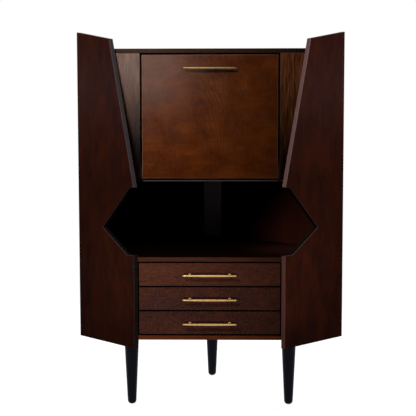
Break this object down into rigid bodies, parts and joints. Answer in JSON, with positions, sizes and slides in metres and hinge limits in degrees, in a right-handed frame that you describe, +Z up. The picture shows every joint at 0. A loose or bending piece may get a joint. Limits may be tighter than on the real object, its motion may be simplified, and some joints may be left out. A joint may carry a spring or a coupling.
{
  "type": "corner bar cabinet",
  "caption": "Three-legged corner cabinet with notched wing panels, a fall-flap bar, an open niche with a counter and drawers on wooden runners.",
  "frame": {"origin": "on the floor, under the centre of the bounding box", "axes": "+Z up, front towards -Y, the room corner towards +Y"},
  "size_m": [1.1186, 0.8038, 1.537],
  "materials": {
    "wing_wood": "dark mahogany veneer, satin lacquer",
    "case_wood": "walnut-brown veneer, satin lacquer",
    "flap_wood": "warm brown veneer, satin lacquer",
    "filler_wood": "open-grained dark veneer, satin lacquer",
    "back_wood": "stained dark ply, matt",
    "drawer_wood": "plain light wood, matt",
    "leg_paint": "black satin paint on turned wood",
    "brass": "satin brass",
    "steel": "zinc plated"
  },
  "bodies": {
    "root": {"left_wing": "wing_wood", "right_wing": "wing_wood", "corner_post": "back_wood", "left_back_panel": "back_wood", "right_back_panel": "back_wood", "bottom_board": "case_wood", "counter_board": "case_wood", "bar_floor_board": "case_wood", "top_board": "case_wood", "left_filler": "filler_wood", "right_filler": "filler_wood", "left_jamb": "case_wood", "right_jamb": "case_wood", "bar_shelf": "case_wood", "left_partition": "case_wood", "right_partition": "case_wood", "magnet_catch": "steel", "left_case_hinge_leaf": "brass", "right_case_hinge_leaf": "brass", "drawer_1_left_runner": "drawer_wood", "drawer_1_right_runner": "drawer_wood", "drawer_2_left_runner": "drawer_wood", "drawer_2_right_runner": "drawer_wood", "drawer_3_left_runner": "drawer_wood", "drawer_3_right_runner": "drawer_wood", "front_left_leg": "leg_paint", "front_right_leg": "leg_paint", "rear_leg": "leg_paint", "front_left_leg_plate": "steel", "front_right_leg_plate": "steel", "rear_leg_plate": "steel"},
    "flap": {"flap_panel": "flap_wood", "flap_handle": "brass", "left_flap_hinge_leaf": "brass", "right_flap_hinge_leaf": "brass", "strike_plate": "steel", "left_stay_bracket": "brass", "right_stay_bracket": "brass"},
    "left_stay_rod": {"left_stay_rod": "brass"},
    "right_stay_rod": {"right_stay_rod": "brass"},
    "left_stay_eye": {"left_stay_eye": "brass"},
    "right_stay_eye": {"right_stay_eye": "brass"},
    "drawer_1": {"drawer_1_front": "case_wood", "drawer_1_left_side": "drawer_wood", "drawer_1_right_side": "drawer_wood", "drawer_1_back": "drawer_wood", "drawer_1_bottom": "drawer_wood", "drawer_1_handle": "brass"},
    "drawer_2": {"drawer_2_front": "case_wood", "drawer_2_left_side": "drawer_wood", "drawer_2_right_side": "drawer_wood", "drawer_2_back": "drawer_wood", "drawer_2_bottom": "drawer_wood", "drawer_2_handle": "brass"},
    "drawer_3": {"drawer_3_front": "case_wood", "drawer_3_left_side": "drawer_wood", "drawer_3_right_side": "drawer_wood", "drawer_3_back": "drawer_wood", "drawer_3_bottom": "drawer_wood", "drawer_3_handle": "brass"}
  },
  "joints": [
    {"name": "flap_hinge", "type": "hinge", "parent": "root", "child": "flap", "pos_m": [0, -0.24185, 0.93], "axis": [1, 0, 0], "range_deg": [0, 90]},
    {"name": "left_stay_rod_pivot", "type": "hinge", "parent": "flap", "child": "left_stay_rod", "pos_m": [-0.2675, -0.22085, 1.13006], "axis": [1, 0, 0], "range_deg": [-45, 0]},
    {"name": "right_stay_rod_pivot", "type": "hinge", "parent": "flap", "child": "right_stay_rod", "pos_m": [0.2675, -0.22085, 1.13006], "axis": [1, 0, 0], "range_deg": [-45, 0]},
    {"name": "left_stay_eye_pivot", "type": "hinge", "parent": "root", "child": "left_stay_eye", "pos_m": [-0.2675, -0.17308, 1.11903], "axis": [1, 0, 0], "range_deg": [0, 45]},
    {"name": "right_stay_eye_pivot", "type": "hinge", "parent": "root", "child": "right_stay_eye", "pos_m": [0.2675, -0.17308, 1.11903], "axis": [1, 0, 0], "range_deg": [0, 45]},
    {"name": "drawer_1_slide", "type": "slide", "parent": "root", "child": "drawer_1", "axis": [0, -1, 0], "range_m": [0, 0.28]},
    {"name": "drawer_2_slide", "type": "slide", "parent": "root", "child": "drawer_2", "axis": [0, -1, 0], "range_m": [0, 0.28]},
    {"name": "drawer_3_slide", "type": "slide", "parent": "root", "child": "drawer_3", "axis": [0, -1, 0], "range_m": [0, 0.28]}
  ],
  "couplings": [
    {"joint": "left_stay_rod_pivot", "follows": "flap_hinge", "ratio": -0.5},
    {"joint": "right_stay_rod_pivot", "follows": "flap_hinge", "ratio": -0.5},
    {"joint": "left_stay_eye_pivot", "follows": "flap_hinge", "ratio": 0.5},
    {"joint": "right_stay_eye_pivot", "follows": "flap_hinge", "ratio": 0.5}
  ]
}
